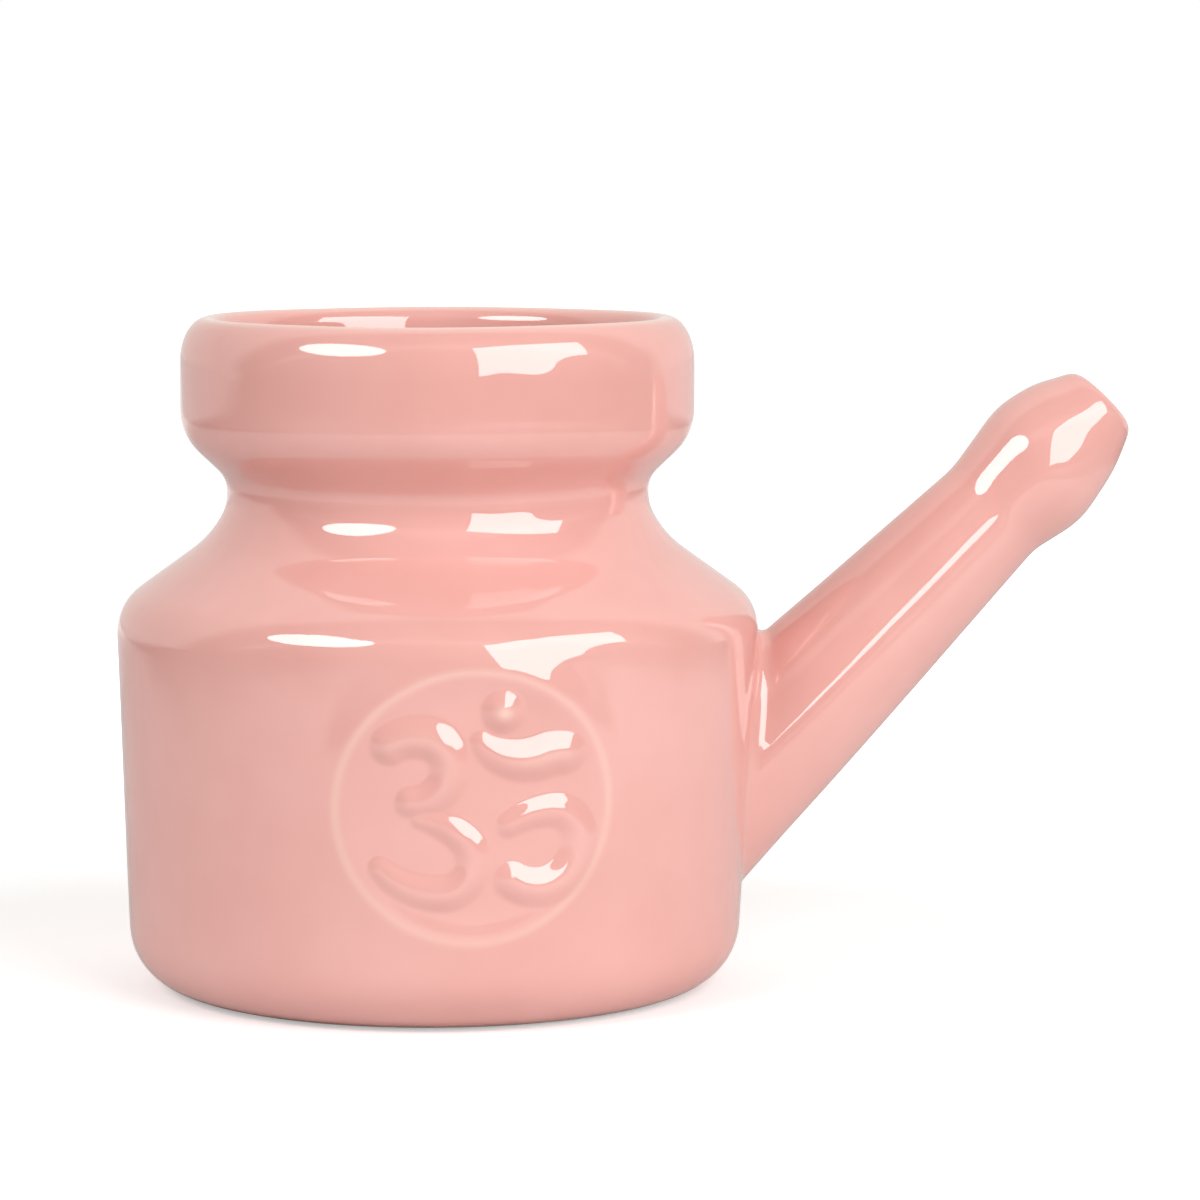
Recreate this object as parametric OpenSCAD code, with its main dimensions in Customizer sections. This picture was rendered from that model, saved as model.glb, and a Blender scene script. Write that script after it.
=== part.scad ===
// Neti pot: one hollow slip-cast piece with a turned body, a slanting spout and a relief medallion.
// +Z is up, the spout points along +X and the medallion faces -Y. The origin is the middle of the foot.

/* [Body] */
// Radius at which the body's side would meet the ground
base_r = 46; // [42:0.5:50]
// Rounding of the bottom edge
base_round = 9.5; // [6:0.5:12]
// Radius at which the body's side would meet the shoulder
shoulder_r = 48.8; // [46:0.2:54]
// Height at which the body's side would meet the shoulder
side_h = 58; // [54:1:66]
// Rounding of the shoulder's edge
shoulder_round = 9.8; // [6:0.2:11]
// Angle of the shoulder from the vertical
shoulder_angle = 54.3; // [48:0.5:60]

/* [Neck and collar] */
// Radius of the neck at its narrowest
neck_r = 31.9; // [28:0.1:34]
// Hollow rounding from the shoulder up to the narrowest place
neck_round_low = 10.3; // [7:0.1:13]
// Hollow rounding from the narrowest place up to the collar
neck_round_high = 4.1; // [3:0.1:7]
// Radius of the collar
collar_r = 38.8; // [36:0.1:42]
// Angle of the collar's underside from the vertical
collar_angle = 47; // [40:1:55]
// Rounding between the collar's underside and its face
collar_round = 8.5; // [5:0.5:10]
// Height of the collar's face, from its lower corner to the rim
collar_h = 17.9; // [15:0.1:22]

/* [Rim] */
// Width of the rim's outer slope
rim_outer_w = 4.2; // [3:0.1:5]
// Height of the rim's outer slope
rim_outer_h = 5.6; // [4:0.1:7]
// Width of the rim's inner slope
rim_inner_w = 2.2; // [1.5:0.1:3]
// Height of the rim's inner slope
rim_inner_h = 2.6; // [1.5:0.1:4]

/* [Inside] */
// Thickness of the cast wall
wall = 4; // [3:0.1:4.5]
// Thickness of the floor
floor_t = 5; // [4:0.1:7]
// Rounding between the floor and the inner wall
floor_round = 7; // [4:0.5:10]
// Rounding where the inner wall comes out of the neck into the mouth
mouth_round = 4; // [2:0.5:5]

/* [Foot] */
// Radius of the hollow in the underside
foot_hollow_r = 31; // [26:0.5:33]
// Depth of the hollow in the underside
foot_hollow_h = 1.2; // [0.6:0.1:2]

/* [Spout] */
// Angle of the spout above the horizontal
spout_angle = 44.4; // [40:0.2:50]
// Height at which the spout's axis leaves the body's side
spout_z = 33.8; // [31:0.1:37]
// Length of the spout along its axis, from the body's side to its end
spout_len = 77.4; // [65:0.2:85]
// Radius of the spout at the body's side
spout_root_r = 12.3; // [11:0.1:13.5]
// Radius of the spout's waist, behind the tip
waist_r = 8.9; // [8:0.1:10]
// Length of the olive-shaped tip, from the waist to the end
tip_len = 24; // [20:0.5:28]
// Length from the waist to the tip's widest place
tip_rise = 9.1; // [7:0.1:12]
// Radius of the tip at its widest place, before rounding
tip_r = 10.5; // [9.8:0.1:11.5]
// Radius of the tip at its end, before rounding
tip_end_r = 6; // [5.4:0.1:7]
// Thickness of the spout's wall
spout_wall = 3.4; // [2.6:0.1:4]
// Radius of the outlet bore
outlet_r = 2.75; // [2.2:0.05:3.5]
// Length of the outlet bore
outlet_len = 7; // [5:0.5:10]
// Width of the bevel at the outlet's mouth
outlet_bevel = 0.6; // [0.3:0.1:1]

/* [Medallion] */
// Height of the medallion's centre
medal_z = 33.8; // [31:0.1:36]
// Radius of the raised ring, at its crest
medal_r = 19.6; // [17:0.1:20.5]
// Width of the raised ring
medal_ring_w = 2; // [1.2:0.1:2.4]
// Height of the raised ring above the body
medal_ring_h = 0.6; // [0.4:0.05:1]
// Depth of the dished disc inside the ring
medal_dish = 0.4; // [0.2:0.05:0.8]
// Height of the sign above the body
sign_h = 0.7; // [0.4:0.05:1.2]
// Width of the sign's strokes
sign_w = 3.3; // [2.6:0.1:3.8]
// Radius of the sign's dot
sign_dot_r = 2.2; // [1.6:0.1:2.4]

/* [Hidden] */
glaze = [0.925, 0.65, 0.62];
// Turn of each facet in the rounded outlines and in the sign's strokes, in degrees
arc_step = 6;
stroke_step = 12;
// Roundings of the spout's waist, widest place and end
waist_round = 12;
tip_round = 8;
tip_end_round = 1.8;
// How far a cut runs past the face that it opens
past = 1;

// Outer corners of the turned body, from the foot up to the collar
base_corner = [base_r, 0];
shoulder_corner = [shoulder_r, side_h];
neck_low = [neck_r, side_h + (shoulder_r - neck_r) / tan(shoulder_angle)];
neck_z = neck_low[1] + neck_round_low * tan(shoulder_angle / 2);
neck_high = [neck_r, neck_z + neck_round_high * tan(collar_angle / 2)];
collar_corner = [collar_r, neck_high[1] + (collar_r - neck_r) / tan(collar_angle)];
rim_z = collar_corner[1] + collar_h;
crest_r = collar_r - rim_outer_w;
mouth_r = crest_r - rim_inner_w;

// The body's side leans outward; the spout and the relief take their place from it
side_lean = atan((shoulder_r - base_r) / side_h);
function side_r(z) = base_r + z * tan(side_lean);
side_wall = wall / cos(side_lean);

// The spout's frame: its axis leaves the side at this radius and runs back into the hollow
spout_x = side_r(spout_z);
spout_back = (spout_root_r * sin(spout_angle) + wall + 3) / cos(spout_angle);
taper = (spout_root_r - waist_r) / (spout_len - tip_len);

function unit(v) = v / norm(v);

// Corner p of the line a-p-b, moved inward by t
function inset(a, p, b, t) =
    let (u = unit(p - a), v = unit(b - p), m = [-u[1], u[0]], n = [-v[1], v[0]])
    p + t * (m + n) / (1 + m * n);

// Points of the arc of radius r that rounds corner p of the line a-p-b
function rounded(a, p, b, r) =
    let (
        u = unit(a - p),
        v = unit(b - p),
        half = acos(u * v) / 2,
        c = p + unit(u + v) * r / sin(half),
        s = p + u * r / tan(half) - c,
        from = atan2(s[1], s[0]),
        side = sign(v[0] * u[1] - v[1] * u[0]),
        turn = 180 - 2 * half,
        n = max(2, ceil(turn / arc_step))
    )
    [for (i = [0 : n]) c + r * [cos(from + side * turn * i / n), sin(from + side * turn * i / n)]];

// Quarter of an ellipse round c, from angle a to angle b
function quarter(c, rx, ry, a, b) =
    [for (i = [0 : 10]) let (t = a + (b - a) * i / 10) c + [rx * cos(t), ry * sin(t)]];

// Section of the body's outside, filled to the axis
module outer_section() {
    rim_start = [collar_r, rim_z - rim_outer_h];
    polygon(concat(
        [[0, 0]],
        rounded([0, 0], base_corner, shoulder_corner, base_round),
        rounded(base_corner, shoulder_corner, neck_low, shoulder_round),
        rounded(shoulder_corner, neck_low, neck_high, neck_round_low),
        rounded(neck_low, neck_high, collar_corner, neck_round_high),
        rounded(neck_high, collar_corner, rim_start, collar_round),
        quarter([crest_r, rim_z - rim_outer_h], rim_outer_w, rim_outer_h, 0, 90),
        [[0, rim_z]]
    ));
}

// Section of the hollow: the same outline moved in by the wall, with a floor and a mouth of its own
module inner_section() {
    floor_corner = [side_r(floor_t) - side_wall, floor_t];
    shoulder_in = inset(base_corner, shoulder_corner, neck_low, wall);
    neck_low_in = inset(shoulder_corner, neck_low, neck_high, wall);
    neck_high_in = inset(neck_low, neck_high, collar_corner, wall);
    mouth_corner = [mouth_r, neck_high_in[1] + (mouth_r - neck_high_in[0]) / tan(collar_angle)];
    rim_end = [mouth_r, rim_z - rim_inner_h];
    polygon(concat(
        [[0, floor_t]],
        rounded([0, floor_t], floor_corner, shoulder_in, floor_round),
        rounded(floor_corner, shoulder_in, neck_low_in, max(1, shoulder_round - wall)),
        rounded(shoulder_in, neck_low_in, neck_high_in, neck_round_low + wall),
        rounded(neck_low_in, neck_high_in, mouth_corner, neck_round_high + wall),
        rounded(neck_high_in, mouth_corner, rim_end, mouth_round),
        quarter([crest_r, rim_z - rim_inner_h], rim_inner_w, rim_inner_h, 180, 90),
        [[crest_r, rim_z + past], [0, rim_z + past]]
    ));
}

// Puts a shape that is turned round Z onto the spout's axis
module on_spout() {
    translate([spout_x, 0, spout_z]) rotate([0, 90 - spout_angle, 0]) children();
}

// Outside of the spout: a taper from the body to the waist, then the olive-shaped tip
module spout_outer() {
    waist = [waist_r, spout_len - tip_len];
    widest = [tip_r, waist[1] + tip_rise];
    end = [tip_end_r, spout_len];
    root = [spout_root_r + taper * spout_back, -spout_back];
    on_spout() rotate_extrude($fn = 96) polygon(concat(
        [[0, -spout_back], root],
        rounded(root, waist, widest, waist_round),
        rounded(waist, widest, end, tip_round),
        rounded(widest, end, [0, spout_len], tip_end_round),
        [[0, spout_len]]
    ));
}

// Channel through the spout: it keeps the wall up to the waist and narrows to the outlet
module spout_channel() {
    bore_z = spout_len - outlet_len;
    waist_z = spout_len - tip_len;
    on_spout() rotate_extrude($fn = 96) polygon([
        [0, -spout_back],
        [spout_root_r - spout_wall + taper * spout_back, -spout_back],
        [waist_r - spout_wall, waist_z],
        [waist_r - spout_wall, waist_z + tip_rise / 2],
        [outlet_r, bore_z],
        [outlet_r, spout_len - outlet_bevel],
        [outlet_r + outlet_bevel + past, spout_len + past],
        [0, spout_len + past]
    ]);
}

// Band of material on the body's side, from depth below it to height above it
module side_band(depth, height) {
    low = medal_z - medal_r - medal_ring_w;
    high = medal_z + medal_r + medal_ring_w;
    rotate_extrude($fn = 192) polygon([
        [side_r(low) - depth, low],
        [side_r(low) + height, low],
        [side_r(high) + height, high],
        [side_r(high) - depth, high]
    ]);
}

// Carries a flat drawing, seen from the front, through the front of the body
module through_front() {
    translate([0, 0, medal_z]) rotate([90, 0, 0]) linear_extrude(height = shoulder_r + 5) children();
}

// Points and headings along a chain of arcs that flow into each other. Each arc is [radius, turn], and a turn
// to the left is positive.
function arc_path(p, heading, arcs, i = 0) =
    i == len(arcs) ? [] :
    let (
        r = arcs[i][0],
        turn = arcs[i][1],
        c = p + sign(turn) * r * [-sin(heading), cos(heading)],
        n = ceil(abs(turn) / stroke_step),
        angles = [for (k = [0 : n]) heading + turn * k / n],
        points = [for (a = angles) [c + sign(turn) * r * [sin(a), -cos(a)], a]]
    )
    concat(
        [for (k = [(i == 0 ? 0 : 1) : n]) points[k]],
        arc_path(points[n][0], points[n][1], arcs, i + 1)
    );

// Round cap of a stroke: half a circle round p, from angle a on
function cap(p, w, a) = [for (k = [1 : 5]) p + w / 2 * [cos(a - 30 * k), sin(a - 30 * k)]];

// Brush stroke along a chain of arcs: widths holds its width at the start, in the middle and at the end, as
// shares of the sign's stroke
module stroke(start, heading, arcs, widths) {
    path = arc_path(start, heading, arcs);
    last = len(path) - 1;
    w = [for (i = [0 : last]) let (t = i / last)
        sign_w * (pow(1 - t, 2) * widths[0] + 2 * t * (1 - t) * widths[1] + pow(t, 2) * widths[2])];
    left = [for (i = [0 : last]) path[i][0] + w[i] / 2 * [-sin(path[i][1]), cos(path[i][1])]];
    right = [for (i = [last : -1 : 0]) path[i][0] - w[i] / 2 * [-sin(path[i][1]), cos(path[i][1])]];
    polygon(concat(
        left,
        cap(path[last][0], w[last], path[last][1] + 90),
        right,
        cap(path[0][0], w[0], path[0][1] - 90)
    ));
}

// The traditional Om sign, drawn round the medallion's centre
module om_sign() {
    // Upper bowl, from its tail round to the prong
    stroke([-14.3, 9.6], 45, [[10, -45], [5.7, -200]], [0.7, 1.2, 0.9]);
    // Lower bowl, from the prong round to its tail
    stroke([-7.1, -0.5], 20, [[6.2, -200], [12, -42]], [0.8, 1.3, 0.45]);
    // Hook on the right
    stroke([5, -0.9], 10, [[6, 30], [5.3, -140], [8, -75], [5, -65]], [0.5, 1.3, 0.9]);
    // Wing and dot above the hook
    stroke([0.6, 10.6], -45, [[9, 75], [4, -55]], [0.4, 1.3, 0.8]);
    translate([5, 15]) circle(r = sign_dot_r, $fn = 48);
}

// Raised ring and sign, taken from the band by the drawing
module relief() {
    intersection() {
        side_band(1.5, medal_ring_h);
        through_front() difference() {
            circle(r = medal_r + medal_ring_w / 2, $fn = 192);
            circle(r = medal_r - medal_ring_w / 2, $fn = 192);
        }
    }
    intersection() {
        side_band(1.5, sign_h);
        through_front() om_sign();
    }
}

// Shallow dish inside the ring
module dish() {
    intersection() {
        side_band(medal_dish, past);
        through_front() circle(r = medal_r - medal_ring_w / 2, $fn = 192);
    }
}

module pot() {
    color(glaze) difference() {
        union() {
            difference() {
                rotate_extrude($fn = 192) outer_section();
                dish();
            }
            relief();
            spout_outer();
        }
        rotate_extrude($fn = 192) inner_section();
        spout_channel();
        translate([0, 0, -past]) cylinder(r = foot_hollow_r, h = foot_hollow_h + past, $fn = 192);
    }
}

pot();
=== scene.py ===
import math

import bmesh
import bpy
import numpy as np
from mathutils import Matrix, Vector


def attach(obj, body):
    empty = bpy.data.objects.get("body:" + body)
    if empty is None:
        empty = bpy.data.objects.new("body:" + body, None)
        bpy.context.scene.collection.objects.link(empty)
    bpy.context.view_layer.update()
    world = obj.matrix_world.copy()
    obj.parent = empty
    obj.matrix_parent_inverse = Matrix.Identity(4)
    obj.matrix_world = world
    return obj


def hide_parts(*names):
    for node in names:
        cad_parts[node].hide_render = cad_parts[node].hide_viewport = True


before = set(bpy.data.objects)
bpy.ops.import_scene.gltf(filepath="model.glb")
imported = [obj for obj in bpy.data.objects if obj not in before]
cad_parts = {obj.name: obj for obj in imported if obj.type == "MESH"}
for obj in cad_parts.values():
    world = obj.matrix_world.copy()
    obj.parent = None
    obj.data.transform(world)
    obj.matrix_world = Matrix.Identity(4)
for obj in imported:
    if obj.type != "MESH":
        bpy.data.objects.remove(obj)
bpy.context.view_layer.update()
mm = 0.001                  # sizes are in millimetres, apart from the studio's
print("frame loaded")

# where the photograph was taken from
cameraSpot = {
    "distance": 731.0,      # from the body's axis, along the floor
    "height": 137.7,        # above the foot
    "bearing": -6.0,        # degrees round the pot, 0 looks straight at the medallion
    "tiltDown": 6.2,        # degrees
    "turnRight": 1.92,
    "lens": 145.5,
    "sensor": 36,           # its width
    "nearest": 10,          # nothing closer than this is seen
}


def makeCamera(spot):
    bearing = math.radians(spot["bearing"])
    data = bpy.data.cameras.new("camera")
    data.lens = spot["lens"]
    data.sensor_width = spot["sensor"]
    data.clip_start = spot["nearest"] * mm
    camera = bpy.data.objects.new("camera", data)
    camera.location = (
        spot["distance"] * math.sin(bearing) * mm,
        -spot["distance"] * math.cos(bearing) * mm,
        spot["height"] * mm,
    )
    turn = bearing - math.radians(spot["turnRight"])
    camera.rotation_euler = (math.radians(90 - spot["tiltDown"]), 0, turn)
    bpy.context.scene.collection.objects.link(camera)
    bpy.context.scene.camera = camera


makeCamera(cameraSpot)
bpy.context.scene.view_settings.view_transform = "Standard"

# lines in the half plane (radius, height) that the body and the spout are turned from
arcPoints = 40              # on each rounded corner
hair = 0.01                 # taken off a rounding that would end just where the next one starts


def unit(v):
    return v / np.linalg.norm(v)


def smoothStep(x):
    x = np.clip(x, 0, 1)
    return x * x * (3 - 2 * x)


def fade(x, start, end):
    # runs softly from 0 at start to 1 at end, whichever of them is larger
    return smoothStep((x - start) / (end - start))


def roundedCorner(before, corner, after, radius):
    # points of the arc that rounds a corner
    before, corner, after = (np.array(p[:2], float) for p in (before, corner, after))
    toBefore, toAfter = unit(before - corner), unit(after - corner)
    half = math.acos(toBefore @ toAfter) / 2
    centre = corner + unit(toBefore + toAfter) * radius / math.sin(half)
    first = corner + toBefore * radius / math.tan(half) - centre
    last = corner + toAfter * radius / math.tan(half) - centre
    start = math.atan2(first[1], first[0])
    turn = (math.atan2(last[1], last[0]) - start + math.pi) % (2 * math.pi) - math.pi
    angles = start + turn * np.linspace(0, 1, arcPoints)
    return [centre + radius * np.array([math.cos(a), math.sin(a)]) for a in angles]


def lineThrough(corners):
    # corners are (radius, height) or, where they are rounded, (radius, height, rounding)
    points = []
    for i, corner in enumerate(corners):
        if len(corner) == 3:
            points += roundedCorner(corners[i - 1], corner, corners[i + 1], corner[2])
        else:
            points.append(np.array(corner, float))
    return points


def quarterTurn(centre, width, height, fromDegrees, toDegrees):
    angles = np.radians(np.linspace(fromDegrees, toDegrees, arcPoints))
    return [np.array([centre[0] + width * math.cos(a), centre[1] + height * math.sin(a)]) for a in angles]


def softened(values, reach):
    # blurs along a line, over four reaches to each side, and keeps its two ends
    count = int(4 * reach)
    weights = np.exp(-0.5 * (np.arange(-count, count + 1) / reach) ** 2)
    weights /= weights.sum()
    before = 2 * values[0] - values[count:0:-1]
    after = 2 * values[-1] - values[-2:-count - 2:-1]
    padded = np.concatenate([before, values, after])
    return np.stack([np.convolve(padded[:, k], weights, "valid") for k in range(values.shape[1])], 1)


def evenLine(points, soften, step=0.1):
    # the same line in even steps, with its corners softened as glaze softens them
    points = np.array(points)
    gaps = np.linalg.norm(np.diff(points, axis=0), axis=1)
    points = points[np.append(True, gaps > 1e-6)]       # without points that fall together
    along = np.append(0, np.cumsum(np.linalg.norm(np.diff(points, axis=0), axis=1)))
    places = np.linspace(0, along[-1], int(along[-1] / step) + 1)
    line = np.stack([np.interp(places, along, points[:, k]) for k in (0, 1)], 1)
    return softened(line, soften / step)


class Outline:
    # a line to turn round an axis; its normal points away from the axis where the line climbs
    def __init__(self, line):
        self.line = line
        self.along = np.append(0, np.cumsum(np.linalg.norm(np.diff(line, axis=0), axis=1)))
        tangent = np.gradient(line, self.along, axis=0)
        tangent /= np.linalg.norm(tangent, axis=1)[:, None]
        self.normal = np.stack([tangent[:, 1], -tangent[:, 0]], 1)
        turning = np.gradient(np.unwrap(np.arctan2(tangent[:, 1], tangent[:, 0])), self.along)
        self.bend = np.abs(turning)

    def at(self, along):
        return np.stack([np.interp(along, self.along, self.line[:, k]) for k in (0, 1)], -1)

    def normalAt(self, along):
        normal = np.stack([np.interp(along, self.along, self.normal[:, k]) for k in (0, 1)], -1)
        return normal / np.linalg.norm(normal, axis=-1, keepdims=True)

    def reaches(self, height):
        # how far along the line a height is met, or on the spout a length
        return np.interp(height, self.line[:, 1], self.along)

    def distance(self, points):
        # signed distance of each (radius, height), and the place of the nearest point of the line
        gap = points[:, None, :] - self.line[None, :, :]
        nearest = np.argmin((gap ** 2).sum(2), axis=1)
        side = (gap[np.arange(len(points)), nearest] * self.normal[nearest]).sum(1)
        return side, self.along[nearest]

    def rows(self, widest, sag, start=0, smooth=12):
        # places along the line, closer where it bends; cells stay within widest and cut off no more than sag
        chosen = self.along >= start
        along = self.along[chosen]
        widest = np.broadcast_to(widest, self.along.shape)[chosen]
        spacing = np.minimum(widest, np.sqrt(8 * sag / np.maximum(self.bend[chosen], 1e-4)))
        density = softened((1 / spacing)[:, None], smooth)[:, 0]
        counted = np.append(0, np.cumsum((density[1:] + density[:-1]) / 2 * np.diff(along)))
        return np.interp(np.linspace(0, counted[-1], math.ceil(counted[-1]) + 1), counted, along)


# the turned body
bodySizes = {
    "baseRadius": 46.0,         # where the side would meet the ground
    "baseRounding": 9.5,
    "shoulderRadius": 48.74,    # where the side would meet the shoulder
    "shoulderHeight": 58.0,
    "shoulderRounding": 7.6,
    "shoulderAngle": 54.3,      # degrees from the vertical
    "neckRadius": 31.9,
    "neckBend": 27,             # degrees that the tighter curve below the neck's waist turns
    "neckTight": 6.0,           # rounding of that curve
    "neckWide": 15.8,           # rounding of the curve below it, which runs into the shoulder
    "neckRoundingLow": 8.6,     # the inner wall has one curve there
    "neckRoundingHigh": 4.1,
    "neckStraight": 0.86,       # upright stretch at the waist
    "collarRadius": 38.8,
    "collarAngle": 47.0,        # of its underside, degrees from the vertical
    "collarRounding": 8.5,
    "collarHeight": 17.9,       # from the lower corner of its face to the crest of the lip
    "lipOuter": (4.2, 6.8),     # width and height of the lip's slopes
    "lipInner": (2.2, 2.6),
    "lipLine": 1.1,             # reach of the thin glaze along the lip
    "wall": 4.0,
    "floor": 5.0,
    "floorRounding": 7.0,
    "mouthRounding": 4.0,
    "hollowRadius": 31.0,       # of the shallow hollow under the foot
    "hollowDepth": 1.2,
    "clay": (0.7, 0.2),         # heights between which the glaze gives way to bare clay, down the foot ring
    "clayEdge": 1.0,            # how far it reaches into the hollow
    "soften": 0.6,
}


def movedIn(before, corner, after, wall):
    # the same corner of a line that runs one wall further in
    before, corner, after = (np.array(p[:2], float) for p in (before, corner, after))
    into, out = unit(corner - before), unit(after - corner)
    m, n = np.array([-into[1], into[0]]), np.array([-out[1], out[0]])
    return corner + wall * (m + n) / (1 + m @ n)


def bodyOutlines(b):
    shoulderAngle, collarAngle, bend = (
        math.radians(b[name]) for name in ("shoulderAngle", "collarAngle", "neckBend"))
    shoulderTan, collarTan = math.tan(shoulderAngle), math.tan(collarAngle)
    base = (b["baseRadius"], 0)
    shoulder = (b["shoulderRadius"], b["shoulderHeight"])
    neckLow = (b["neckRadius"], shoulder[1] + (shoulder[0] - b["neckRadius"]) / shoulderTan)
    tightLength = b["neckTight"] * math.tan(bend / 2)
    slant = tightLength + b["neckWide"] * math.tan((shoulderAngle - bend) / 2)
    neckTight = (b["neckRadius"], neckLow[1] + slant * (math.cos(bend) - math.sin(bend) / shoulderTan))
    neckWide = (neckTight[0] + slant * math.sin(bend), neckTight[1] - slant * math.cos(bend))
    neckMiddle = neckTight[1] + tightLength + b["neckStraight"]
    neckHigh = (b["neckRadius"], neckMiddle + b["neckRoundingHigh"] * math.tan(collarAngle / 2))
    collar = (b["collarRadius"], neckHigh[1] + (b["collarRadius"] - b["neckRadius"]) / collarTan)
    top = collar[1] + b["collarHeight"]
    lipWide, lipHigh = b["lipOuter"]
    innerWide, innerHigh = b["lipInner"]
    crest = b["collarRadius"] - lipWide
    mouth = crest - innerWide
    outerLine = lineThrough([
        (0, b["hollowDepth"]),
        (b["hollowRadius"], b["hollowDepth"]),
        (b["hollowRadius"], 0),
        (*base, b["baseRounding"]),
        (*shoulder, b["shoulderRounding"]),
        (*neckWide, b["neckWide"] - hair),
        (*neckTight, b["neckTight"]),
        (*neckHigh, b["neckRoundingHigh"]),
        (*collar, b["collarRounding"]),
        (b["collarRadius"], top - lipHigh),
    ]) + quarterTurn((crest, top - lipHigh), lipWide, lipHigh, 0, 90)

    wall = b["wall"]
    lean = (shoulder[0] - base[0]) / shoulder[1]
    floorCorner = (base[0] + b["floor"] * lean - wall * math.hypot(1, lean), b["floor"])
    shoulderIn = movedIn(base, shoulder, neckLow, wall)
    neckLowIn = movedIn(shoulder, neckLow, neckHigh, wall)
    neckHighIn = movedIn(neckLow, neckHigh, collar, wall)
    mouthCorner = (mouth, neckHighIn[1] + (mouth - neckHighIn[0]) / collarTan)
    innerLine = lineThrough([
        (0, b["floor"]),
        (*floorCorner, b["floorRounding"]),
        (*shoulderIn, b["shoulderRounding"] - wall),
        (*neckLowIn, b["neckRoundingLow"] + wall),
        (*neckHighIn, b["neckRoundingHigh"] + wall),
        (*mouthCorner, b["mouthRounding"]),
        (mouth, top - innerHigh),
    ]) + quarterTurn((crest, top - innerHigh), innerWide, innerHigh, 180, 90)
    whole = evenLine(outerLine + innerLine[::-1], b["soften"])
    highest = int(np.argmax(whole[:, 1]))
    return Outline(whole[:highest + 1]), Outline(whole[:highest - 1:-1])


outside, inside = bodyOutlines(bodySizes)
potTop = outside.line[-1, 1]
print("body drawn, top at", round(potTop, 2), "mm")

# the spout: radii across its axis, lengths along it from the body's side
spoutSizes = {
    "angle": 44.4,              # degrees above the horizontal
    "height": 33.8,             # where its axis leaves the body's side
    "length": 77.4,
    "back": 30.0,               # how far inside the body its lines start
    "rootRadius": 12.6,
    "waistRadius": 8.9,
    "waistRounding": 10.5,
    "tipLength": 24.0,
    "tipRise": 9.9,             # from the waist to the tip's widest place
    "tipRadius": 10.8,
    "tipRounding": 14.0,
    "fullRadius": 9.15,         # the tip stays full up to a third corner, before its end
    "fullRise": 17.4,           # from the waist to that corner
    "fullRounding": 20.0,
    "tipLean": 1.4,             # its bulge sits this much further out on top than in the middle
    "leanIn": (-12, -2),        # where that starts along the tip, from its widest place
    "leanOut": (14, 3),         # and where it ends
    "endRadius": 6.0,
    "endRounding": 2.1,
    "wall": 3.4,
    "outletRadius": 2.75,
    "outletLength": 7.0,
    "outletBevel": 0.6,
    "crease": (1.6, 2.6),       # rounding where it joins the body, on top and round the sides
    "creaseSpread": 1.3,        # how soon it widens, away from the top
    "innerCrease": (1.2, 1.2),
    "soften": 0.7,
}


def spoutOutlines(s):
    waist = s["length"] - s["tipLength"]
    flare = (s["rootRadius"] - s["waistRadius"]) / waist * s["back"]
    outerLine = lineThrough([
        (s["rootRadius"] + flare, -s["back"]),
        (s["waistRadius"], waist, s["waistRounding"]),
        (s["tipRadius"], waist + s["tipRise"], s["tipRounding"]),
        (s["fullRadius"], waist + s["fullRise"], s["fullRounding"]),
        (s["endRadius"], s["length"], s["endRounding"]),
        (s["outletRadius"] + s["outletBevel"], s["length"]),
        (s["outletRadius"], s["length"] - s["outletBevel"]),
        (s["outletRadius"], s["length"] - 3 * s["outletBevel"]),
    ])
    innerLine = lineThrough([
        (s["rootRadius"] - s["wall"] + flare, -s["back"]),
        (s["waistRadius"] - s["wall"], waist),
        (s["waistRadius"] - s["wall"], waist + s["tipRise"] / 2),
        (s["outletRadius"], s["length"] - s["outletLength"]),
        (s["outletRadius"], s["length"] - 5 * s["outletBevel"]),
    ])
    return Outline(evenLine(outerLine, s["soften"])), Outline(evenLine(innerLine, s["soften"]))


tube, channel = spoutOutlines(spoutSizes)
spoutTilt = math.radians(spoutSizes["angle"])
spoutRun = np.array([math.cos(spoutTilt), 0, math.sin(spoutTilt)])
spoutUp = np.array([-math.sin(spoutTilt), 0, math.cos(spoutTilt)])
spoutBack = np.array([0, 1.0, 0])
sideLean = (bodySizes["shoulderRadius"] - bodySizes["baseRadius"]) / bodySizes["shoulderHeight"]
spoutStart = np.array([
    bodySizes["baseRadius"] + spoutSizes["height"] * sideLean,
    0,
    spoutSizes["height"],
])
spoutSide, frontSide = 0, -90       # degrees round the body


def onBody(outline, turn, along):
    # a place on the turned body, and the surface's direction there
    radius, height = np.moveaxis(outline.at(along), -1, 0)
    outward, upward = np.moveaxis(outline.normalAt(along), -1, 0)
    cosine, sine = np.cos(turn), np.sin(turn)
    return (
        np.stack([radius * cosine, radius * sine, height + 0 * turn], -1),
        np.stack([outward * cosine, outward * sine, upward + 0 * turn], -1),
    )


def onSpout(outline, turn, along):
    # the same for the spout, with the turn counted from its upper side towards the back
    radius, length = np.moveaxis(outline.at(along), -1, 0)
    outward, onward = np.moveaxis(outline.normalAt(along), -1, 0)
    across = np.cos(turn)[..., None] * spoutUp + np.sin(turn)[..., None] * spoutBack
    return (
        spoutStart + length[..., None] * spoutRun + radius[..., None] * across,
        onward[..., None] * spoutRun + outward[..., None] * across,
    )


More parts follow.
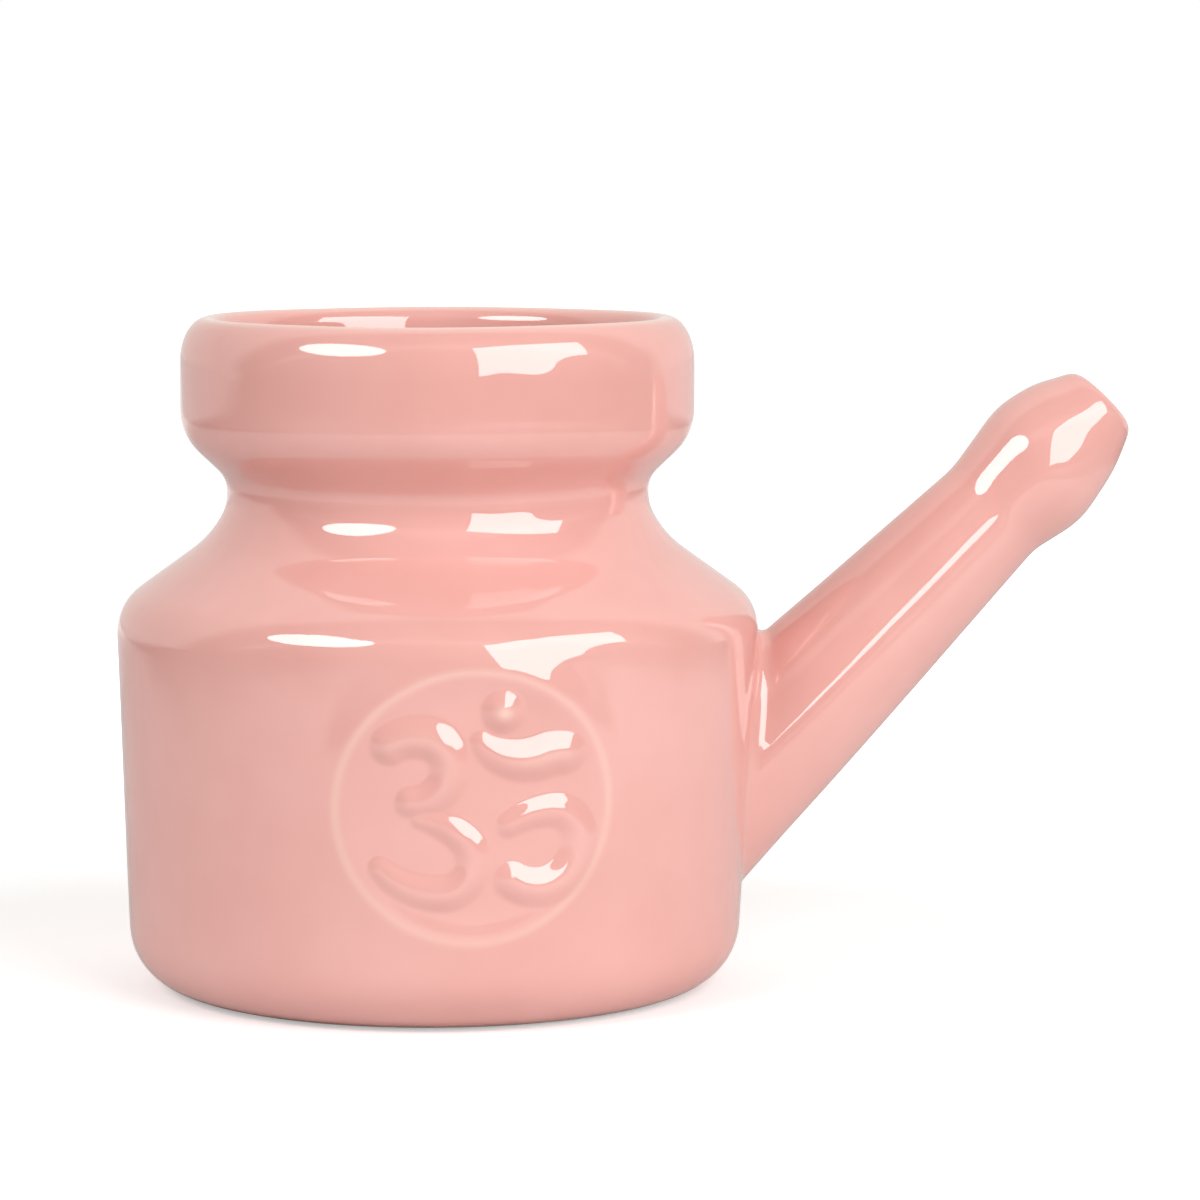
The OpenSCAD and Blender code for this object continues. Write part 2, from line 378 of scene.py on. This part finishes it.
def rollBall(wall, spout, turn, radius, halvings=30):
    # a ball rolled round the spout's root touches both surfaces; its path is the crease between them
    near = np.zeros(len(turn))
    far = np.full(len(turn), spout.reaches(spoutSizes["length"] / 2))
    for _ in range(halvings):
        middle = (near + far) / 2
        place, direction = onSpout(spout, turn, middle)
        centre = place + direction * radius[:, None]
        flat = np.stack([np.hypot(centre[:, 0], centre[:, 1]), centre[:, 2]], 1)
        gap, along = wall.distance(flat)
        near = np.where(gap < radius, middle, near)
        far = np.where(gap < radius, far, middle)
    return middle, centre, np.arctan2(centre[:, 1], centre[:, 0]), along


# the medallion: a raised ring with a dished ground and the traditional Om sign
medallionSizes = {
    "height": 33.65,
    "aside": 0.45,              # it was pressed a little off the middle
    "ringRadius": 19.7,
    "ringHeight": 0.25,
    "ringInner": 3.8,           # width of the ring's slopes
    "ringOuter": 4.6,
    "ringFall": 1.5,            # how fast they fall
    "ringLine": 0.6,            # reach of the pale line along its crest
    "ringPale": 0.35,           # how pale that line is
    "swell": (0.64, 65, 26),    # how much higher its upper right is, and where and how far, in degrees
    "swellInner": 0.7,          # share of the ring's inner slope there, so that it falls less fast
    "ground": -0.12,            # height inside the ring
    "signHeight": 0.92,
    "signWidth": 6.2,           # of a stroke with the glaze that softens it
    "signPale": 0.12,
    "thinning": 1.25,           # how much lower a stroke is where it is thinner
    "blend": 6,                 # the higher it is, the sharper two strokes meet
    "dot": (3.8, 13.8),
    "dotRadius": 3.45,
    "dotHeight": 1.37,
    "fineness": 4,              # cells of the fine grid for one of the body's
    "margin": 24.5,             # half the side of the fine grid
}
# each stroke: start, heading in degrees, arcs of (radius, turn), and widths at its start, middle and end
signStrokes = {
    "upperBowl": ((-12.2, 9.0), 40, [(5, -30), (8.2, -14), (4.5, -88), (5.0, -95)], (1.0, 1.15, 0.75)),
    "lowerBowl": ((-7.8, -1.6), -10, [(13, -30), (4.6, -140), (12, -46)], (0.5, 1.3, 0.6)),
    "hook": ((5.0, -2.7), 32, [(12, -32), (4.0, -80), (7, -45), (6, -92)], (0.65, 1.15, 0.95)),
    "wing": ((0.8, 9.2), -46, [(8.6, 67), (6, -29)], (0.6, 1.25, 1.1)),
}


def strokePoints(start, heading, arcs, step=0.3):
    points = [np.array(start, float)]
    heading = math.radians(heading)
    for radius, turn in arcs:
        turn = math.radians(turn)
        side = math.copysign(radius, turn)
        centre = points[-1] + side * np.array([-math.sin(heading), math.cos(heading)])
        for part in np.linspace(0, 1, math.ceil(abs(turn) * radius / step) + 1)[1:]:
            a = heading + turn * part
            points.append(centre + side * np.array([math.sin(a), -math.cos(a)]))
        heading += turn
    return np.array(points)


def bump(gap, reach, flank=1.5):
    return np.clip(1 - (gap / reach) ** 2, 0, 1) ** flank


def signRise(x, z, m):
    # the height of the sign, 1 on a stroke of full width; strokes that meet run into one another
    blend = m["blend"]
    total = (m["dotHeight"] * bump(np.hypot(x - m["dot"][0], z - m["dot"][1]), m["dotRadius"])) ** blend
    for start, heading, arcs, widths in signStrokes.values():
        points = strokePoints(start, heading, arcs)
        t = np.linspace(0, 1, len(points))
        width = (1 - t) ** 2 * widths[0] + 2 * t * (1 - t) * widths[1] + t ** 2 * widths[2]
        stroke = np.zeros_like(x)
        for (px, pz), w in zip(points, width):
            rise = w ** m["thinning"] * bump(np.hypot(x - px, z - pz), w * m["signWidth"] / 2)
            stroke = np.maximum(stroke, rise)
        total = total + stroke ** blend
    return total ** (1 / blend)


def relief(x, z, m):
    # how far the drawing stands out at a place seen from the front, and how thin its glaze is there
    x, z = x - m["aside"], z - m["height"]
    far = np.hypot(x, z)
    beyond = np.maximum(far - m["ringRadius"], 0) / m["ringOuter"] * m["ringFall"]
    within = np.maximum(m["ringRadius"] - far, 0) / m["ringInner"] * m["ringFall"]
    ground = m["ground"] * (1 - np.exp(-within ** 2))
    swellHeight, swellMiddle, swellReach = m["swell"]
    swell = swellHeight * np.exp(-((np.degrees(np.arctan2(z, x)) - swellMiddle) / swellReach) ** 2)
    ring = (
        m["ringHeight"] * np.exp(-beyond ** 2 - within ** 2)
        + swell * np.exp(-beyond ** 2 - (m["swellInner"] * within) ** 2))
    line = np.exp(-((far - m["ringRadius"]) / m["ringLine"]) ** 2)
    sign = signRise(x, z, m)
    return ground + ring + m["signHeight"] * sign, m["ringPale"] * line + m["signPale"] * sign ** m["blend"]


# how fine the mesh is
cellSizes = {
    "columns": 240,                     # cells round the body
    "outside": (1.25, 0.009),           # widest cell, and the most that one may cut off a curve
    "inside": (2.2, 0.03),
    "tube": (1.25, 0.009),
    "channel": (2.0, 0.02),
    "underFoot": 6.0,                   # widest cell in the hollow under the foot
    "underEnd": (27, 33),               # radii between which those cells grow finer
    "onFloor": 5.0,                     # widest cell on the floor inside
    "floorRise": 0.5,                   # and how far above the floor that holds
    "tubeHole": (11.5, 57.8, 17.5),     # heights and half width of the wall that the spout's root takes up
    "channelHole": (13.0, 47.0, 12.5),
    "holesBelow": 75,                   # no such hole, and no medallion, reaches this height
    "tubeRoot": (26.0, 14),             # where the root's rings end, and how many there are
    "channelRoot": (20.0, 8),
    "creaseRings": 6,                   # across the crease, and again on the wall round it
}


class Shell:
    # collects points and faces, with two numbers at each point for the glaze
    def __init__(self):
        self.points, self.breaks, self.bare, self.faces = [], [], [], []
        self.count = 0

    def add(self, points, breaks=0.0, bare=0.0):
        points = np.asarray(points)
        shape = points.shape[:-1]
        self.points.append(points.reshape(-1, 3))
        self.breaks.append(np.broadcast_to(breaks, shape).reshape(-1))
        self.bare.append(np.broadcast_to(bare, shape).reshape(-1))
        first = self.count
        self.count += self.points[-1].shape[0]
        return np.arange(first, self.count).reshape(shape)

    def band(self, a, b, closed=True):
        # quads between two rows of points
        steps = range(len(a) if closed else len(a) - 1)
        for i in steps:
            j = (i + 1) % len(a)
            self.faces.append((a[i], a[j], b[j], b[i]))

    def grow(self, ring, points):
        # the next ring of a tube, joined to the last one
        newRing = self.add(points)
        self.band(ring, newRing)
        return newRing

    def stitch(self, a, b, aAt, bAt):
        # triangles between two loops with unlike counts, whose places run from 0 to 1
        i = j = 0
        nextA, nextB = np.append(aAt[1:], 1), np.append(bAt[1:], 1)
        while i < len(a) or j < len(b):
            if j == len(b) or (i < len(a) and nextA[i] <= nextB[j]):
                self.faces.append((a[i], a[(i + 1) % len(a)], b[j % len(b)]))
                i += 1
            else:
                self.faces.append((a[i % len(a)], b[(j + 1) % len(b)], b[j]))
                j += 1

    def fan(self, ring, height):
        # triangles from a ring to a point on the axis
        centre = self.add(np.array([[0, 0, height]]))[0]
        for i in range(len(ring)):
            self.faces.append((ring[i], ring[(i + 1) % len(ring)], centre))


def shares(count):
    # even steps up to 1, without 0
    return np.arange(1, count + 1) / count


def borderOf(row0, row1, col0, col1):
    # the border of a block of cells, from its top left corner, and how far round it each place is:
    # each side is a quarter
    top = [(row1, c) for c in range(col0, col1)]
    right = [(r, col1) for r in range(row1, row0, -1)]
    bottom = [(row0, c) for c in range(col1, col0, -1)]
    left = [(r, col0) for r in range(row0, row1)]
    places = [(side + i / len(part)) / 4 for side, part in enumerate((top, right, bottom, left))
              for i in range(len(part))]
    return np.array(top + right + bottom + left), np.array(places)


def blockAround(outline, rows, turn, low, high, halfWidth):
    # the block of cells that holds a stretch of the wall, round a turn in degrees
    radii, heights = outline.at(rows).T
    climbing = np.flatnonzero((radii > bodySizes["hollowRadius"]) & (heights < cellSizes["holesBelow"]))
    row0, row1 = climbing[np.searchsorted(heights[climbing], [low, high])]
    middle = round(turn / 360 * cellSizes["columns"])
    half = math.ceil(halfWidth / (2 * math.pi * bodySizes["shoulderRadius"] / cellSizes["columns"]))
    return row0, row1, middle - half, middle + half


def turnWall(shell, outline, rows, bare=0.0):
    # the rows of a turned wall; its glaze is thin along the lip, where both walls end
    columns = cellSizes["columns"]
    turns = np.arange(columns) * 2 * math.pi / columns
    place, _ = onBody(outline, turns[None, :], rows[:, None] + 0 * turns)
    lip = np.exp(-((rows - outline.along[-1]) / bodySizes["lipLine"]) ** 2)
    return shell.add(place, lip[:, None], bare)


def gridFaces(shell, grid, holes):
    # quads of a turned grid, apart from its first row, which is a point, and the blocks in holes
    rows, columns = grid.shape
    cut = np.zeros((rows, columns), bool)
    for row0, row1, col0, col1 in holes:
        cut[row0:row1, np.arange(col0, col1) % columns] = True
    for r in range(1, rows - 1):
        for c in np.flatnonzero(~cut[r]):
            d = (c + 1) % columns
            shell.faces.append((grid[r, c], grid[r, d], grid[r + 1, d], grid[r + 1, c]))


def addMedallion(shell, grid, rows, block, m):
    # a finer grid in the block's place, with one coarse cell round it to stitch the two together
    row0, row1, col0, col1 = block
    columns = cellSizes["columns"]
    fine = m["fineness"]
    coarseRows, coarseCols = np.arange(row0 + 1, row1), np.arange(col0 + 1, col1)
    fineRows = np.linspace(coarseRows[0], coarseRows[-1], (len(coarseRows) - 1) * fine + 1)
    fineCols = np.linspace(coarseCols[0], coarseCols[-1], (len(coarseCols) - 1) * fine + 1)
    along = np.interp(fineRows, np.arange(len(rows)), rows)[:, None]
    turn = (fineCols * 2 * math.pi / columns)[None, :]
    place, direction = onBody(outside, turn + 0 * along, along + 0 * turn)
    height, thin = relief(place[..., 0], place[..., 2], m)
    patch = shell.add(place + direction * height[..., None], thin)
    for r in range(len(fineRows) - 1):
        shell.band(patch[r], patch[r + 1], closed=False)
    border, at = borderOf(*block)
    fineBorder, fineAt = borderOf(0, len(fineRows) - 1, 0, len(fineCols) - 1)
    shell.stitch(
        grid[border[:, 0], border[:, 1] % columns],
        patch[fineBorder[:, 0], fineBorder[:, 1]],
        at, fineAt)
    print("medallion modelled:", patch.shape)


def joinSpout(shell, grid, rows, hole, wall, spout, crease, root, cell):
    # rings from a hole in the wall, over the crease and out along the spout; returns the last ring
    columns = cellSizes["columns"]
    border, _ = borderOf(*hole)
    ring = grid[border[:, 0], border[:, 1] % columns]
    count = len(ring)
    turn = 2 * math.pi * (np.arange(count) - (hole[3] - hole[2]) / 2) / count
    creaseTop, creaseSide = crease
    widening = smoothStep(spoutSizes["creaseSpread"] * (1 - np.cos(turn)))
    radius = creaseTop + (creaseSide - creaseTop) * widening
    spoutAlong, centre, wallTurn, wallAlong = rollBall(wall, spout, turn, radius)

    borderTurn = border[:, 1] * 2 * math.pi / columns
    borderAlong = rows[border[:, 0]]
    for share in shares(cellSizes["creaseRings"]):
        place, _ = onBody(
            wall,
            borderTurn + (wallTurn - borderTurn) * share,
            borderAlong + (wallAlong - borderAlong) * share)
        ring = shell.grow(ring, place)

    _, wallNormal = onBody(wall, wallTurn, wallAlong)
    _, spoutNormal = onSpout(spout, turn, spoutAlong)
    between = np.arccos(np.clip((wallNormal * spoutNormal).sum(1), -1, 1))[:, None]
    for share in shares(cellSizes["creaseRings"]):
        direction = np.sin((1 - share) * between) * wallNormal + np.sin(share * between) * spoutNormal
        direction /= np.sin(between)
        ring = shell.grow(ring, centre - radius[:, None] * direction)

    rootLength, rootRings = root
    rootEnd = spout.reaches(rootLength)
    for share in shares(rootRings):
        place, _ = onSpout(spout, turn, spoutAlong + (rootEnd - spoutAlong) * share)
        ring = shell.grow(ring, place)
    for along in spout.rows(*cell, start=rootEnd)[1:]:
        place, _ = onSpout(spout, turn, np.full(count, along))
        ring = shell.grow(ring, place)
    return ring, turn


def makePot(b, s, m, cells):
    shell = Shell()
    onAxis = np.full((1, cells["columns"]), -1)     # stands for a grid's first row
    widest, sag = cells["outside"]
    underFoot = np.interp(outside.line[:, 0], cells["underEnd"], (cells["underFoot"], widest))
    rows = outside.rows(underFoot, sag)
    radii, heights = outside.at(rows[1:]).T
    bare = fade(heights, *b["clay"]) * fade(radii, b["hollowRadius"] - b["clayEdge"], b["hollowRadius"])
    grid = np.concatenate([onAxis, turnWall(shell, outside, rows[1:], bare[:, None])])
    spoutBlock = blockAround(outside, rows, spoutSide, *cells["tubeHole"])
    medallionBlock = blockAround(
        outside, rows, frontSide, m["height"] - m["margin"], m["height"] + m["margin"], m["margin"])
    gridFaces(shell, grid, [spoutBlock, medallionBlock])
    shell.fan(grid[1], b["hollowDepth"])
    addMedallion(shell, grid, rows, medallionBlock, m)

    widest, sag = cells["inside"]
    onFloor = inside.line[:, 1] < b["floor"] + cells["floorRise"]
    innerRows = inside.rows(np.where(onFloor, cells["onFloor"], widest), sag)
    innerGrid = np.concatenate([onAxis, turnWall(shell, inside, innerRows[1:-1]), grid[-1:]])
    innerBlock = blockAround(inside, innerRows, spoutSide, *cells["channelHole"])
    gridFaces(shell, innerGrid, [innerBlock])
    shell.fan(innerGrid[1], b["floor"])
    print("body turned:", len(rows), "rows outside,", len(innerRows), "inside")

    endRing, turn = joinSpout(
        shell, grid, rows, spoutBlock, outside, tube, s["crease"], cells["tubeRoot"], cells["tube"])
    innerEnd, innerTurn = joinSpout(
        shell, innerGrid, innerRows, innerBlock, inside, channel,
        s["innerCrease"], cells["channelRoot"], cells["channel"])
    # both end rings start near the same turn, so their own shares of a turn are their places
    first = min(turn[0], innerTurn[0])
    shell.stitch(endRing, innerEnd, (turn - first) / (2 * math.pi), (innerTurn - first) / (2 * math.pi))
    print("spout joined:", len(endRing), "points round it,", len(innerEnd), "round its channel")
    return shell


# a cast and trimmed pot is never quite round or level
handWork = {
    "rimWaves": [(2, 0.9, 0.05), (5, -0.7, 0.04)],      # waves round the rim, their start and their height
    "rimTilt": 0.18,            # the rim is this much higher in front and lower at the back
    "rimDrop": 0.12,            # and all of it is this much lower
    "rimReach": 14,             # how far below the rim this is felt
    "collarWithin": 45,         # what is further from the axis isn't the collar
    "lean": 0.7,                # the foot stands this much to the left
    "leanTop": 62,              # height where this ends
    "leanRoot": (78, 48),       # distances from the axis between which it comes in, along the spout
    "squash": 0.0016,           # the body is narrower by up to twice this share
    "squashTurn": 1.6,          # twice the turn where it is, in radians
    "squashRoot": (60, 52),     # the same distances as for the lean
    "tipBeyond": 60,            # what is nearer to the axis isn't the tip
}


def handMade(points, h, s):
    x, y, z = points.T
    turn = np.arctan2(y, x)
    far = np.hypot(x, y)
    waves = sum(height * np.cos(count * turn + start) for count, start, height in h["rimWaves"])
    rim = waves - h["rimTilt"] * np.sin(turn) - h["rimDrop"]
    onRim = fade(z, potTop - h["rimReach"], potTop) * (far < h["collarWithin"])
    lean = -h["lean"] * fade(z, h["leanTop"], 0) * fade(far, *h["leanRoot"])
    squash = 1 - h["squash"] * (1 + np.cos(2 * turn - h["squashTurn"])) * fade(far, *h["squashRoot"])
    moved = np.stack([x * squash + lean, y * squash, z + rim * onRim], 1)
    along, up = (points - spoutStart) @ spoutRun, (points - spoutStart) @ spoutUp
    past = along - (s["length"] - s["tipLength"] + s["tipRise"])
    onTip = fade(past, *s["leanIn"]) * fade(past, *s["leanOut"]) * (far > h["tipBeyond"])
    return moved + (s["tipLean"] * onTip * up / s["tipRadius"])[:, None] * spoutRun


def meshFrom(shell, name):
    points = handMade(np.concatenate(shell.points), handWork, spoutSizes) * mm
    breaks, bare = np.concatenate(shell.breaks), np.concatenate(shell.bare)
    used = np.unique(np.concatenate([np.array(f) for f in shell.faces]))
    renumbered = np.full(len(points), -1)
    renumbered[used] = np.arange(len(used))
    mesh = bpy.data.meshes.new(name)
    mesh.from_pydata(points[used], [], [tuple(int(renumbered[i]) for i in f) for f in shell.faces])
    for attribute, values in (("breaks", breaks), ("bare", bare)):
        mesh.attributes.new(attribute, "FLOAT", "POINT").data.foreach_set("value", values[used])
    mesh.validate()
    return mesh


def tidyNormals(piece):
    work = bmesh.new()
    work.from_mesh(piece.data)
    bmesh.ops.recalc_face_normals(work, faces=work.faces)
    openEdges = sum(1 for e in work.edges if not e.is_manifold)
    triangles = sum(len(f.verts) - 2 for f in work.faces)
    for face in work.faces:
        face.smooth = True
    work.to_mesh(piece.data)
    work.free()
    print("pot meshed:", triangles, "triangles,", openEdges, "open edges")


potShell = makePot(bodySizes, spoutSizes, medallionSizes, cellSizes)
pot = bpy.data.objects.new("glazedPot", meshFrom(potShell, "glazedPot"))
bpy.context.scene.collection.objects.link(pot)
tidyNormals(pot)

# the glaze
glazeLook = {
    "colour": (0.83, 0.425, 0.38),
    "deep": (0.79, 0.385, 0.34),    # where it lies thickest
    "thin": (0.93, 0.62, 0.53),     # where it runs off an edge
    "clay": (0.80, 0.72, 0.62),     # the bare ring of the foot
    "gloss": 0.03,                  # roughness of the glaze
    "ior": 1.7,
    "mirror": 0.7,                  # specular level
    "clayRough": 0.75,
    "mottle": 38.0,                 # patches to the metre
    "mottleFade": (0.35, 0.7),      # values of the noise between which it runs to the deep colour
    "waves": 90.0,                  # to the metre, in its surface
    "waveDepth": 1.0,
    "ripple": 0.06,                 # how strongly they bend its reflections
}


def plug(tree, value, socket):
    # the value is a number, a vector, a colour or another node's socket
    if isinstance(value, bpy.types.NodeSocket):
        tree.links.new(value, socket)
    else:
        socket.default_value = (*value, 1) if socket.type == "RGBA" else value


def addNode(tree, kind, **values):
    node = tree.nodes.new(kind)
    for name, value in values.items():
        if hasattr(node, name):
            setattr(node, name, value)
        else:
            plug(tree, value, node.inputs[name.replace("_", " ")])
    return node


def maths(tree, operation, *values, vector=False):
    # works something out from numbers, vectors or other nodes' sockets
    node = addNode(tree, "ShaderNodeVectorMath" if vector else "ShaderNodeMath", operation=operation)
    for value, socket in zip(values, node.inputs):
        plug(tree, value, socket)
    return node.outputs["Vector" if vector and operation != "LENGTH" else "Value"]


def ramp(tree, value, low, high, first=0.0, last=1.0, kind="LINEAR"):
    # runs from first to last while the value runs from low to high
    node = addNode(
        tree, "ShaderNodeMapRange", interpolation_type=kind,
        Value=value, From_Min=low, From_Max=high, To_Min=first, To_Max=last)
    return node.outputs["Result"]


def mixColours(tree, share, a, b):
    node = addNode(tree, "ShaderNodeMix", data_type="RGBA", Factor=share)
    plug(tree, a, node.inputs[6])       # the two colours and their mix come after the sockets for numbers
    plug(tree, b, node.inputs[7])
    return node.outputs[2]


def glazeMaterial(look):
    material = bpy.data.materials.new("glaze")
    material.use_nodes = True
    tree = material.node_tree
    place = addNode(tree, "ShaderNodeTexCoord").outputs["Object"]
    breaks = addNode(tree, "ShaderNodeAttribute", attribute_name="breaks").outputs["Fac"]
    bare = addNode(tree, "ShaderNodeAttribute", attribute_name="bare").outputs["Fac"]

    mottle = addNode(
        tree, "ShaderNodeTexNoise", Vector=place, Scale=look["mottle"], Detail=3.0, Roughness=0.55)
    deep = ramp(tree, mottle.outputs["Fac"], *look["mottleFade"])
    colour = mixColours(tree, deep, look["colour"], look["deep"])
    colour = mixColours(tree, breaks, colour, look["thin"])
    colour = mixColours(tree, bare, colour, look["clay"])

    waves = addNode(tree, "ShaderNodeTexNoise", Vector=place, Scale=look["waves"], Detail=1.0)
    bend = addNode(
        tree, "ShaderNodeBump", Strength=look["ripple"], Distance=look["waveDepth"] * mm,
        Height=waves.outputs["Fac"])
    shader = tree.nodes["Principled BSDF"]
    plug(tree, colour, shader.inputs["Base Color"])
    plug(tree, ramp(tree, bare, 0.0, 1.0, look["gloss"], look["clayRough"]), shader.inputs["Roughness"])
    plug(tree, bend.outputs["Normal"], shader.inputs["Normal"])
    plug(tree, look["ior"], shader.inputs["IOR"])
    plug(tree, look["mirror"], shader.inputs["Specular IOR Level"])
    return material


pot.data.materials.append(glazeMaterial(glazeLook))
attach(pot, "root")
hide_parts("pot")
print("pot glazed")

# the light: each box lies between the middles of its two ends, given by their bearing and climb
# in degrees and their distance from the pot
softBoxes = {
    "rightBox": {
        "ends": [(7.5, 20.5, 960), (65, 20.5, 960)],
        "tall": 750,
        "glow": 4.3,
        "shape": "RECTANGLE",
        "lean": 0.15,           # how far the top of its left end leans inwards, as a share of its width
        # where black cards cover its foot: places along it and the lowest lit place there, as shares
        "foot": [(0, 0.085), (0.08, 0.09), (0.2, 0.12), (0.62, 0.12), (0.7, 0.36), (0.82, 0.48), (1, 0.52)],
    },
    "leftBox": {
        "ends": [(-76.5, 35, 1000), (-31.5, 35, 1000)],
        "tall": 380,
        "glow": 4.6,
        "shape": "ELLIPSE",
    },
}


def spotAt(bearing, climb, away):
    bearing, climb = math.radians(bearing), math.radians(climb)
    return away * mm * np.array([
        math.sin(bearing) * math.cos(climb), -math.cos(bearing) * math.cos(climb), math.sin(climb)])


def coverLamp(data, foot, lean):
    # the black cards before a lamp
    data.use_nodes = True
    tree = data.node_tree
    surface = addNode(tree, "ShaderNodeNewGeometry").outputs["Parametric"]
    place = addNode(tree, "ShaderNodeSeparateXYZ", Vector=surface).outputs
    card = addNode(tree, "ShaderNodeFloatCurve", Value=place["X"])
    line = card.mapping.curves[0]
    line.points[0].location, line.points[1].location = foot[0], foot[-1]
    for spot in foot[1:-1]:
        line.points.new(*spot)
    card.mapping.update()
    above = maths(tree, "GREATER_THAN", place["Y"], card.outputs[0])
    beside = maths(tree, "GREATER_THAN", place["X"], maths(tree, "MULTIPLY", place["Y"], lean))
    plug(tree, maths(tree, "MULTIPLY", above, beside), tree.nodes["Emission"].inputs["Strength"])


def makeSoftBox(name, box):
    left, right = (spotAt(*end) for end in box["ends"])
    across = unit(right - left)
    middle = (left + right) / 2
    back = unit(middle - across * (middle @ across))        # a lamp shines along its own -Z
    data = bpy.data.lights.new(name, "AREA")
    data.shape = box["shape"]
    data.size, data.size_y = np.linalg.norm(right - left), box["tall"] * mm
    data.energy = box["glow"] * math.pi * data.size * data.size_y
    if "foot" in box:
        coverLamp(data, box["foot"], box["lean"])
    lamp = bpy.data.objects.new(name, data)
    axes = np.stack([across, np.cross(back, across), back], 1)
    lamp.matrix_world = Matrix.LocRotScale(
        Vector(middle) + Vector((0, 0, potTop / 2 * mm)), Matrix(axes).to_quaternion(), None)
    bpy.context.scene.collection.objects.link(lamp)


for boxName, boxSizes in softBoxes.items():
    makeSoftBox(boxName, boxSizes)

# the floor, and the room that the glaze mirrors; lengths in metres, directions as parts of a unit vector
studio = {
    "floorColour": (0.78, 0.78, 0.78),
    "floorSize": 6.0,
    "floorShadeFar": (0.3, 0.3, 0.3),        # painted shade: the floor in front of the lit table, painted darker for the unlit room there
    "floorReach": (0.26, 0.34),         # where it fades
    "floorGlow": (0.4, 1.0),            # for the camera alone, near and far, so that the floor is white
    "floorGlowReach": (0.1, 0.35),
    "sweepGlow": 0.6,                   # behind the pot, for its reflections
    "sweepGlowReach": (0.3, 0.65),
    "roomLight": 0.9,                   # how much of the room's light falls on the pot
    "roomDark": (0.22, 0.215, 0.21),
    "roomBand": (0.55, 0.54, 0.53),     # a pale strip of ceiling in front of the pot
    "bandNear": (-0.75, -0.6),          # its two edges, with the ceiling one metre up
    "bandFar": (-1.25, -1.0),
    "ceilingLow": 0.02,                 # upward part of a direction, under which the ceiling stays as it is
    "roomBack": (0.86, 0.84, 0.8),      # the sweep behind the pot
    "sweepStart": (0.27, 0.09),         # how far back it starts, at the floor and above the height below
    "sweepHeight": 0.45,
    "sweepEdge": (-0.05, 0.12),         # how softly
}


def makeFloor(look):
    half = look["floorSize"] / 2
    corners = [(-half, -half, 0), (half, -half, 0), (half, half, 0), (-half, half, 0)]
    mesh = bpy.data.meshes.new("floor")
    mesh.from_pydata(corners, [], [(0, 1, 2, 3)])
    floor = bpy.data.objects.new("floor", mesh)
    bpy.context.scene.collection.objects.link(floor)
    material = bpy.data.materials.new("floor")
    material.use_nodes = True
    tree = material.node_tree
    tree.nodes.remove(tree.nodes["Principled BSDF"])
    place = addNode(tree, "ShaderNodeTexCoord").outputs["Object"]
    ray = addNode(tree, "ShaderNodeLightPath").outputs

    # the floor's colour fades away from the pot into painted shade, but not behind it
    front = maths(tree, "MINIMUM", place, (look["floorSize"], 0, 0), vector=True)
    fading = ramp(tree, maths(tree, "LENGTH", front, vector=True), *look["floorReach"], kind="SMOOTHSTEP")
    paint = mixColours(tree, fading, look["floorColour"], look["floorShadeFar"])

    away = maths(tree, "LENGTH", place, vector=True)
    whitening = ramp(tree, away, *look["floorGlowReach"], *look["floorGlow"])
    seen = maths(tree, "MULTIPLY", ray["Is Camera Ray"], whitening)
    depth = addNode(tree, "ShaderNodeSeparateXYZ", Vector=place).outputs["Y"]
    behind = ramp(tree, depth, *look["sweepGlowReach"], 0.0, look["sweepGlow"])
    strength = maths(tree, "MULTIPLY_ADD", ray["Is Glossy Ray"], behind, seen)

    both = addNode(tree, "ShaderNodeAddShader")
    plug(tree, addNode(tree, "ShaderNodeBsdfDiffuse", Color=paint).outputs[0], both.inputs[0])
    plug(tree, addNode(tree, "ShaderNodeEmission", Strength=strength).outputs[0], both.inputs[1])
    plug(tree, both.outputs[0], tree.nodes["Material Output"].inputs["Surface"])
    mesh.materials.append(material)


def makeRoom(look):
    # a white sweep behind the pot for the camera, and a dimmer room in front of it for its reflections
    world = bpy.data.worlds.new("room")
    bpy.context.scene.world = world
    world.use_nodes = True
    tree = world.node_tree
    direction = addNode(tree, "ShaderNodeTexCoord").outputs["Generated"]
    parts = addNode(tree, "ShaderNodeSeparateXYZ", Vector=direction).outputs
    ray = addNode(tree, "ShaderNodeLightPath").outputs

    climb = maths(tree, "MAXIMUM", parts["Z"], look["ceilingLow"])
    depth = maths(tree, "DIVIDE", parts["Y"], climb)        # how far back the direction meets the ceiling
    room = mixColours(tree, ramp(tree, depth, *look["bandFar"]), look["roomDark"], look["roomBand"])
    room = mixColours(tree, ramp(tree, depth, *look["bandNear"]), room, look["roomDark"])
    start = ramp(tree, parts["Z"], 0.0, look["sweepHeight"], *look["sweepStart"])
    sweep = ramp(tree, maths(tree, "SUBTRACT", parts["Y"], start), *look["sweepEdge"])
    room = mixColours(tree, sweep, room, look["roomBack"])

    background = tree.nodes["Background"]
    plug(tree, mixColours(tree, ray["Is Camera Ray"], room, (1.0, 1.0, 1.0)), background.inputs["Color"])
    seen = maths(tree, "MAXIMUM", ray["Is Camera Ray"], ray["Is Glossy Ray"])
    plug(tree, ramp(tree, seen, 0.0, 1.0, look["roomLight"], 1.0), background.inputs["Strength"])


makeFloor(studio)
makeRoom(studio)
print("stage set")
